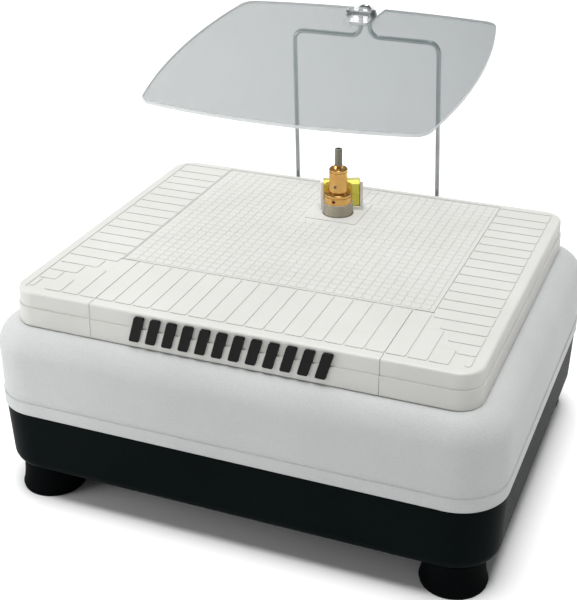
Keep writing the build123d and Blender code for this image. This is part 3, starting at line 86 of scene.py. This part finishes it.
class Look:
    """A Principled material and the few kinds of node that the finishes below are made of."""

    def __init__(self, name, **sockets):
        self.material = bpy.data.materials.new(name)
        FINISHES[name] = self.material
        self.material.use_nodes = True
        self.tree = self.material.node_tree
        self.shader = self.tree.nodes["Principled BSDF"]
        self.place = self.tree.nodes.new("ShaderNodeTexCoord").outputs["Object"]
        self.relief = None
        for socket, value in sockets.items():
            self.shader.inputs[socket.replace("_", " ")].default_value = value

    def node(self, kind, **values):
        made = self.tree.nodes.new(kind)
        for key, value in values.items():
            setattr(made, key, value)
        return made

    def link(self, source, target):
        self.tree.links.new(source, target)

    def stretched(self, scale):
        """Object coordinates scaled by three factors, for grain that runs one way."""
        mapping = self.node("ShaderNodeMapping")
        mapping.inputs["Scale"].default_value = scale
        self.link(self.place, mapping.inputs["Vector"])
        return mapping.outputs["Vector"]

    def noise(self, scale, detail=3.0, roughness=0.5, at=None):
        made = self.node("ShaderNodeTexNoise")
        made.inputs["Scale"].default_value = scale
        made.inputs["Detail"].default_value = detail
        made.inputs["Roughness"].default_value = roughness
        self.link(at or self.place, made.inputs["Vector"])
        return made.outputs["Fac"]

    def cells(self, scale, smooth=None):
        """Distance to the nearest of many scattered points, with its creases smoothed if asked."""
        made = self.node("ShaderNodeTexVoronoi", feature="SMOOTH_F1" if smooth else "F1")
        made.inputs["Scale"].default_value = scale
        if smooth:
            made.inputs["Smoothness"].default_value = smooth
        self.link(self.place, made.inputs["Vector"])
        return made.outputs["Distance"]

    def ramp(self, factor, stops):
        """Colour ramp from a factor; stops are (position, colour)."""
        made = self.node("ShaderNodeValToRGB")
        elements = made.color_ramp.elements
        while len(elements) < len(stops):
            elements.new(0.5)
        for element, (position, colour) in zip(elements, stops):
            element.position = position
            element.color = (*colour, 1.0)
        self.link(factor, made.inputs["Fac"])
        return made.outputs["Color"]

    def cloudy(self, factor, first, second):
        """Colour that drifts between two tones with a noise factor."""
        return self.ramp(factor, [(0.3, first), (0.7, second)])

    def span(self, factor, low, high, source=(0.0, 1.0)):
        """The factor mapped from its source range to low..high."""
        made = self.node("ShaderNodeMapRange")
        for socket, value in zip(("From Min", "From Max", "To Min", "To Max"), (*source, low, high)):
            made.inputs[socket].default_value = value
        self.link(factor, made.inputs["Value"])
        return made.outputs["Result"]

    def blend(self, factor, first, second, mode="MIX"):
        """Mix of two colours; the factor and the second colour may be outputs or plain values."""
        made = self.node("ShaderNodeMix", data_type="RGBA", blend_type=mode)
        if isinstance(factor, float):
            made.inputs["Factor"].default_value = factor
        else:
            self.link(factor, made.inputs["Factor"])
        colours = [socket for socket in made.inputs if socket.type == "RGBA"]
        self.link(first, colours[0])
        if isinstance(second, tuple):
            colours[1].default_value = (*second, 1.0)
        else:
            self.link(second, colours[1])
        return next(socket for socket in made.outputs if socket.type == "RGBA")

    def round_edges(self, radius):
        """Shading normals rounded over sharp edges by this radius in metres."""
        made = self.node("ShaderNodeBevel", samples=4)
        made.inputs["Radius"].default_value = radius
        self.relief = made.outputs["Normal"]
        self.link(self.relief, self.shader.inputs["Normal"])

    def bump(self, height, depth):
        """Adds a layer of relief of this depth in metres."""
        made = self.node("ShaderNodeBump")
        made.inputs["Distance"].default_value = depth
        self.link(height, made.inputs["Height"])
        if self.relief:
            self.link(self.relief, made.inputs["Normal"])
        self.relief = made.outputs["Normal"]
        self.link(self.relief, self.shader.inputs["Normal"])

    def colour(self, output):
        self.link(output, self.shader.inputs["Base Color"])

    def rough(self, output):
        self.link(output, self.shader.inputs["Roughness"])

    def see_through(self, output):
        self.link(output, self.shader.inputs["Alpha"])


def moulded_plastic(name, dark, light, rough, grain=2500.0, depth=0.00004, edge=0.0005, specular=0.5):
    """Injection-moulded plastic: faint cloudiness, uneven sheen and a fine tool texture."""
    look = Look(name, Specular_IOR_Level=specular)
    look.round_edges(edge)
    look.colour(look.cloudy(look.noise(14.0, 4.0, 0.6), dark, light))
    look.rough(look.span(look.noise(90.0), rough - 0.06, rough + 0.06))
    look.bump(look.noise(grain, 2.0, 0.6), depth)


def pebbled_plastic(name, dark, light, rough, depth, specular):
    """Plastic with a leathery pebble, with painted shade in its hollows, over slow clouds."""
    look = Look(name, Specular_IOR_Level=specular)
    look.round_edges(0.0007)
    pebble = look.cells(900.0, smooth=0.6)
    tone = look.cloudy(look.noise(9.0, 4.0, 0.55), dark, light)
    # painted shade: the colour is darkened in the hollows between the pebbles, as well as bumped
    shade = look.ramp(pebble, [(0.1, (1.0, 1.0, 1.0)), (0.75, (0.93, 0.935, 0.935))])
    look.colour(look.blend(1.0, tone, shade, "MULTIPLY"))
    look.rough(look.span(look.noise(300.0), rough - 0.08, rough + 0.08))
    look.bump(look.span(pebble, 1.0, 0.0), depth)
    look.bump(look.noise(1800.0, 2.0), depth * 0.4)


def worked_metal(name, dark, light, rough, along, depth=0.000012):
    """Metal with fine tool marks; along gives how the marks are stretched on each axis."""
    look = Look(name, Metallic=1.0)
    look.round_edges(0.0002)
    marks = look.noise(1.0, 4.0, 0.65, look.stretched(along))
    look.colour(look.cloudy(look.noise(60.0, 4.0, 0.6), dark, light))
    look.rough(look.span(marks, rough * 0.7, rough * 1.4))
    look.bump(marks, depth)


def grit(name, dark, light, scale, depth):
    """Diamond grit in plated metal: specks standing out of a dull binder, paler partly by their own colour
    and partly by a painted glint, with painted shade between them.
    """
    look = Look(name, Metallic=0.55)
    look.round_edges(0.0003)
    specks = look.cells(scale)
    tone = look.ramp(look.noise(scale * 0.35, 5.0, 0.7), [(0.35, dark), (0.65, light)])
    # partly real, partly painted light: the grains' own paler colour, a painted glint on their raised tops
    # and painted shade in the crevices between them
    grain_colour_glint_and_shade = look.ramp(specks, [(0.05, (1.5, 1.5, 1.45)), (0.3, (1.0, 1.0, 1.0)), (0.8, (0.72, 0.72, 0.7))])
    look.colour(look.blend(1.0, tone, grain_colour_glint_and_shade, "MULTIPLY"))
    look.rough(look.span(specks, 0.35, 0.65, (0.0, 0.7)))
    look.bump(look.span(specks, 1.0, 0.0), depth)


SHEET_RISE = 0.147                                # how far the sheet climbs towards the back, per metre
EDGE_ALPHA = 0.85


def clear_sheet(name):
    """Hazy clear acrylic. Its faces let most light through; its cut edges collect light and look solid. Its
    haze carries painted shade, paler on the left and darker on the right.
    """
    look = Look(name, Roughness=0.3, Specular_IOR_Level=0.1)
    facing = look.node("ShaderNodeVectorMath", operation="DOT_PRODUCT")
    facing.inputs[1].default_value = Vector((0, -SHEET_RISE, 1)).normalized()
    look.link(look.tree.nodes["Texture Coordinate"].outputs["Normal"], facing.inputs[0])
    flat = look.node("ShaderNodeMath", operation="ABSOLUTE")
    look.link(facing.outputs["Value"], flat.inputs[0])
    edge = look.span(flat.outputs[0], 1.0, 0.0, (0.3, 0.85))
    haze = look.noise(7.0)
    split = look.node("ShaderNodeSeparateXYZ")
    look.link(look.place, split.inputs[0])
    # painted shade: the haze runs from a paler tone on the left of the sheet to a darker one on the right,
    # standing in for how light falls across it
    painted_shade_across = look.span(split.outputs["X"], 0.0, 1.0, (-0.12, 0.12))
    painted_light_haze = look.cloudy(haze, (0.175, 0.20, 0.20), (0.22, 0.24, 0.24))
    painted_shade = look.cloudy(haze, (0.075, 0.10, 0.105), (0.115, 0.135, 0.14))
    look.colour(look.blend(edge, look.blend(painted_shade_across, painted_light_haze, painted_shade), (0.70, 0.73, 0.73)))
    alpha = look.node("ShaderNodeMix", data_type="FLOAT")
    look.link(edge, alpha.inputs["Factor"])
    look.link(look.span(haze, 0.46, 0.52), alpha.inputs["A"])
    alpha.inputs["B"].default_value = EDGE_ALPHA
    look.see_through(alpha.outputs["Result"])
    look.bump(look.noise(25.0, 2.0), 0.0002)


def hub_clear(name):
    """The moulded clear plastic of the shield's clip and the neck block."""
    look = Look(name, Roughness=0.12, Specular_IOR_Level=0.7)
    look.round_edges(0.0006)
    swirl = look.noise(120.0, 4.0, 0.6)
    look.colour(look.cloudy(swirl, (0.42, 0.45, 0.455), (0.70, 0.72, 0.72)))
    look.see_through(look.span(swirl, 0.08, 0.30, (0.3, 0.7)))
    look.bump(look.noise(300.0, 2.0), 0.0001)


def foam(name):
    """Open-cell foam, yellow-green, with painted shade darkening the inside of its pores."""
    look = Look(name, Roughness=0.9, Specular_IOR_Level=0.1, Sheen_Weight=0.25)
    pores = look.cells(900.0)
    tone = look.cloudy(look.noise(220.0, 4.0, 0.6), (0.89, 0.82, 0.09), (0.99, 0.94, 0.22))
    # painted shade: the colour is darkened inside the pores, where shade would fall
    painted_shade = look.ramp(pores, [(0.05, (0.55, 0.55, 0.4)), (0.35, (1.0, 1.0, 1.0))])
    look.colour(look.blend(1.0, tone, painted_shade, "MULTIPLY"))
    look.bump(pores, 0.0005)
    look.bump(look.noise(2500.0), 0.0001)


# ---------------------------------------------------------------- finishes, one for each slot of the record
def plastic_finishes():
    pebbled_plastic("housing_white", (0.475, 0.488, 0.484), (0.525, 0.538, 0.530), rough=0.5, depth=0.00024,
                    specular=0.3)
    moulded_plastic("surface_ivory", (0.550, 0.550, 0.525), (0.590, 0.590, 0.565), rough=0.46, edge=0.0006)
    moulded_plastic("holder_white", (0.90, 0.88, 0.83), (0.95, 0.93, 0.88), rough=0.4)
    moulded_plastic("slinger_white", (0.62, 0.62, 0.60), (0.70, 0.70, 0.68), rough=0.45)
    pebbled_plastic("base_black", (0.0022, 0.0042, 0.0042), (0.0034, 0.0058, 0.0058), rough=0.42,
                    depth=0.00006, specular=0.012)
    moulded_plastic("badge_black", (0.003, 0.003, 0.003), (0.006, 0.006, 0.006), rough=0.35, specular=0.12)
    moulded_plastic("switch_black", (0.008, 0.008, 0.009), (0.014, 0.014, 0.015), rough=0.4)
    moulded_plastic("rocker_black", (0.010, 0.010, 0.011), (0.018, 0.018, 0.019), rough=0.22)
    moulded_plastic("gland_black", (0.010, 0.010, 0.010), (0.020, 0.020, 0.020), rough=0.55)
    moulded_plastic("terminal_ivory", (0.60, 0.57, 0.46), (0.68, 0.65, 0.54), rough=0.5)
    moulded_plastic("lead_grey", (0.03, 0.03, 0.035), (0.06, 0.06, 0.065), rough=0.5)
    moulded_plastic("fan_plastic", (0.02, 0.02, 0.022), (0.04, 0.04, 0.042), rough=0.5)
    moulded_plastic("foot_rubber", (0.0016, 0.0024, 0.0026), (0.0034, 0.0044, 0.0047), rough=0.62,
                    grain=1400.0, depth=0.00006, edge=0.0008, specular=0.012)
    moulded_plastic("motor_grey", (0.055, 0.058, 0.062), (0.075, 0.078, 0.082), rough=0.4, grain=1500.0,
                    depth=0.00005)
    clear_sheet("shield_clear")
    hub_clear("hub_plastic")
    foam("sponge_yellow")


def metal_finishes():
    worked_metal("head_brass", (0.69, 0.38, 0.105), (0.83, 0.51, 0.19), 0.2, (40.0, 40.0, 5200.0))
    worked_metal("bush_bronze", (0.42, 0.27, 0.13), (0.52, 0.35, 0.18), 0.45, (900.0, 900.0, 900.0))
    worked_metal("spindle_steel", (0.55, 0.55, 0.56), (0.66, 0.66, 0.67), 0.22, (60.0, 60.0, 3800.0))
    worked_metal("screw_steel", (0.50, 0.50, 0.50), (0.62, 0.62, 0.60), 0.35, (500.0, 500.0, 500.0))
    worked_metal("lamination", (0.20, 0.20, 0.21), (0.30, 0.30, 0.31), 0.45, (20.0, 20.0, 2000.0))
    worked_metal("winding_copper", (0.50, 0.20, 0.08), (0.68, 0.30, 0.13), 0.35, (200.0, 200.0, 2600.0))
    worked_metal("wire_chrome", (0.33, 0.35, 0.36), (0.43, 0.45, 0.46), 0.14, (300.0, 300.0, 300.0),
                 depth=0.000004)
    grit("grit_grey", (0.42, 0.375, 0.29), (0.56, 0.51, 0.41), scale=2600.0, depth=0.00012)
    grit("bit_steel", (0.22, 0.21, 0.17), (0.32, 0.305, 0.25), scale=3200.0, depth=0.00010)


def dress_cad():
    """Every CAD node takes the finish of its record slot."""
    for part in frame["record"]["subparts"]:
        mesh = nodes[part["node"]].data
        mesh.materials.clear()
        mesh.materials.append(FINISHES[part["material_slot"]])


plastic_finishes()
metal_finishes()
dress_cad()
nodes["shield_sheet"].visible_shadow = False         # clear acrylic casts next to none


# ---------------------------------------------------------------- detail pieces
def add_piece(name, mesh, body, slot):
    mesh.materials.append(FINISHES[slot])
    piece = bpy.data.objects.new(name, mesh)
    scene.collection.objects.link(piece)
    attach(piece, body)
    return piece


# ---------------------------------------------------------------- waffle
SURFACE_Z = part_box("grid_insert")[1].z
SUNK = 0.0004                                     # how far the middle of the insert lies below its rim
WAFFLE_PITCH = 0.0075
WAFFLE_COLUMNS, WAFFLE_ROWS = 33, 27
WAFFLE_Y = 0.036
ISLAND_HALF, ISLAND_Y = 0.0225, 0.0825            # flat square round the head
STUD_HALF = 0.0036
STUD_CUT = 0.0009                                 # off each corner
STUD_LIP = 0.00034                                # height and width of the chamfered rim
STUD_TOP_CUT = 0.000764
STUD_SIDES = 8


def stud_outline(half, cut):
    """A square with its corners cut off, anticlockwise."""
    return [(half, half - cut), (half - cut, half), (cut - half, half), (-half, half - cut),
            (-half, cut - half), (cut - half, -half), (half - cut, -half), (half, cut - half)]


def add_stud(points, faces, x, y):
    """One closed block, standing in the sunk middle with its top level with the rim."""
    first = len(points)
    levels = ((SURFACE_Z - 2 * SUNK, STUD_HALF, STUD_CUT), (SURFACE_Z - STUD_LIP, STUD_HALF, STUD_CUT),
              (SURFACE_Z, STUD_HALF - STUD_LIP, STUD_TOP_CUT))
    for z, half, cut in levels:
        points.extend((x + u, y + v, z) for u, v in stud_outline(half, cut))
    for low in (first, first + STUD_SIDES):
        high = low + STUD_SIDES
        for i in range(STUD_SIDES):
            j = (i + 1) % STUD_SIDES
            faces.append((low + j, high + j, high + i, low + i))
    top = first + 2 * STUD_SIDES
    faces.append(tuple(range(top, top + STUD_SIDES)))
    faces.append(tuple(range(first + STUD_SIDES - 1, first - 1, -1)))


def waffle():
    """The field of small raised squares over the lift-out centre, left out on the island round the head."""
    points, faces = [], []
    for row in range(WAFFLE_ROWS):
        for column in range(WAFFLE_COLUMNS):
            x = (column - (WAFFLE_COLUMNS - 1) / 2) * WAFFLE_PITCH
            y = WAFFLE_Y + (row - (WAFFLE_ROWS - 1) / 2) * WAFFLE_PITCH
            if max(abs(x), abs(y - ISLAND_Y)) >= ISLAND_HALF + WAFFLE_PITCH / 2:
                add_stud(points, faces, x, y)
    mesh = bpy.data.meshes.new("waffle_squares")
    mesh.from_pydata(points, [], faces)
    add_piece("waffle_squares", mesh, "insert", "surface_ivory")


waffle()


# ---------------------------------------------------------------- sponge
# Its block is drawn square to the axes with the spindle at the origin, then turned and moved into place.
SPINDLE_Y = 0.080
HOLDER_TURN = math.radians(23.0)
SPONGE_LEFT, SPONGE_RIGHT, SPONGE_FRONT, SPONGE_BACK = -0.0118, 0.0188, 0.0060, 0.0146
RING_PRESS = 0.0131                               # radius of the hollow that the ring leaves
THINNEST = 0.0008                                 # foam left behind the hollow
FOAM_ROUND = 0.0010
FOAM_STEP = 0.0007
PORES_PER_METRE = 620.0
PORE_REACH, PORE_SLOPE, PORE_DEPTH = 0.45, 0.0016, 0.0006


def foam_box(low, high):
    """A rounded box from low to high, cut into small cells so that its faces can be shaped."""
    size = high - low
    shape = bmesh.new()
    bmesh.ops.create_cube(shape, size=1.0)
    bmesh.ops.scale(shape, vec=size, verts=shape.verts)
    bmesh.ops.translate(shape, vec=(low + high) / 2, verts=shape.verts)
    bmesh.ops.bevel(shape, geom=shape.edges[:], offset=FOAM_ROUND, segments=2, profile=0.6, affect="EDGES")
    for axis in range(3):
        normal = Vector([1.0 if i == axis else 0.0 for i in range(3)])
        steps = int(size[axis] / FOAM_STEP)
        for step in range(1, steps):
            bmesh.ops.bisect_plane(shape, geom=shape.verts[:] + shape.edges[:] + shape.faces[:],
                                   plane_co=low + normal * (size[axis] * step / steps), plane_no=normal)
    return shape


def foam_block():
    """The sponge: a soft block with pores, hollowed in front where the ring presses into it."""
    bottom, top = (corner.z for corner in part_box("sponge"))
    low, high = Vector((SPONGE_LEFT, SPONGE_FRONT, bottom)), Vector((SPONGE_RIGHT, SPONGE_BACK, top))
    centre = (low + high) / 2
    turn = Matrix.Translation((0.0, SPINDLE_Y, 0.0)) @ Matrix.Rotation(HOLDER_TURN, 4, "Z")
    shape = foam_box(low, high)
    for vert in shape.verts:
        if abs(vert.co.x) < RING_PRESS:
            press = math.sqrt(RING_PRESS ** 2 - vert.co.x ** 2)
            vert.co.y = max(vert.co.y, min(press, SPONGE_BACK - THINNEST))
        pore = noise.voronoi(vert.co * PORES_PER_METRE)[0][0]
        depth = min(max(0.0, PORE_REACH - pore) * PORE_SLOPE, PORE_DEPTH)
        vert.co += (centre - vert.co).normalized() * depth
        vert.co = turn @ vert.co
    mesh = bpy.data.meshes.new("sponge_foam")
    shape.to_mesh(mesh)
    shape.free()
    for polygon in mesh.polygons:
        polygon.use_smooth = True
    piece = add_piece("sponge_foam", mesh, "sponge", "sponge_yellow")
    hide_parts("sponge")


foam_block()


# ---------------------------------------------------------------- light and floor
SKY_LOW, SKY_HIGH = 0.10, 0.18                    # strength of the sky below and above its blend
BLEND_FROM, BLEND_TO = 0.10, 0.45                 # heights of that blend, as the sine of the elevation
FLOOR_REACH = 30.0


def area_light(name, at, aim, size, power):
    data = bpy.data.lights.new(name, "AREA")
    data.shape = "RECTANGLE"
    data.size, data.size_y = size
    data.energy = power
    lamp = bpy.data.objects.new(name, data)
    lamp.location = at
    lamp.rotation_euler = (Vector(aim) - Vector(at)).to_track_quat("-Z", "Y").to_euler()
    scene.collection.objects.link(lamp)


def sun_light(name, direction, strength, angle):
    data = bpy.data.lights.new(name, "SUN")
    data.energy = strength
    data.angle = math.radians(angle)
    lamp = bpy.data.objects.new(name, data)
    lamp.rotation_euler = Vector(direction).to_track_quat("-Z", "Y").to_euler()
    scene.collection.objects.link(lamp)


def lamps():
    sun_light("overhead", (-0.04, 0.06, -1.0), strength=3.05, angle=24.0)
    area_light("top_box", (-0.5, 0.6, 1.5), aim=(0.0, 0.0, 0.15), size=(1.4, 1.4), power=11.0)
    area_light("left_box", (-0.85, -0.60, 0.28), aim=(-0.1, -0.1, 0.1), size=(0.5, 0.4), power=3.6)
    area_light("right_box", (1.25, 0.55, 0.55), aim=(0.15, 0.0, 0.12), size=(0.8, 0.6), power=1.0)


def sky():
    """An even white world, a little brighter overhead than at the horizon."""
    world = bpy.data.worlds.new("studio")
    scene.world = world
    world.use_nodes = True
    tree = world.node_tree
    shade = tree.nodes["Background"]
    shade.inputs["Color"].default_value = (1.0, 1.0, 1.0, 1.0)
    direction = tree.nodes.new("ShaderNodeTexCoord").outputs["Generated"]
    split = tree.nodes.new("ShaderNodeSeparateXYZ")
    tree.links.new(direction, split.inputs[0])
    height = tree.nodes.new("ShaderNodeMapRange")
    height.interpolation_type = "SMOOTHSTEP"
    levels = {"From Min": BLEND_FROM, "From Max": BLEND_TO, "To Min": SKY_LOW, "To Max": SKY_HIGH}
    for socket, value in levels.items():
        height.inputs[socket].default_value = value
    tree.links.new(split.outputs["Z"], height.inputs["Value"])
    tree.links.new(height.outputs["Result"], shade.inputs["Strength"])


def white_floor():
    look = Look("floor_white", Roughness=0.9, Specular_IOR_Level=0.1)
    look.colour(look.cloudy(look.noise(3.0), (0.93, 0.93, 0.93), (0.95, 0.95, 0.95)))
    corners = [(x * FLOOR_REACH, y * FLOOR_REACH, 0) for x, y in ((-1, -1), (1, -1), (1, 1), (-1, 1))]
    mesh = bpy.data.meshes.new("floor")
    mesh.from_pydata(corners, [], [(0, 1, 2, 3)])
    mesh.materials.append(look.material)
    floor = bpy.data.objects.new("floor", mesh)
    scene.collection.objects.link(floor)


lamps()
sky()
white_floor()
scene.view_settings.view_transform = "Standard"
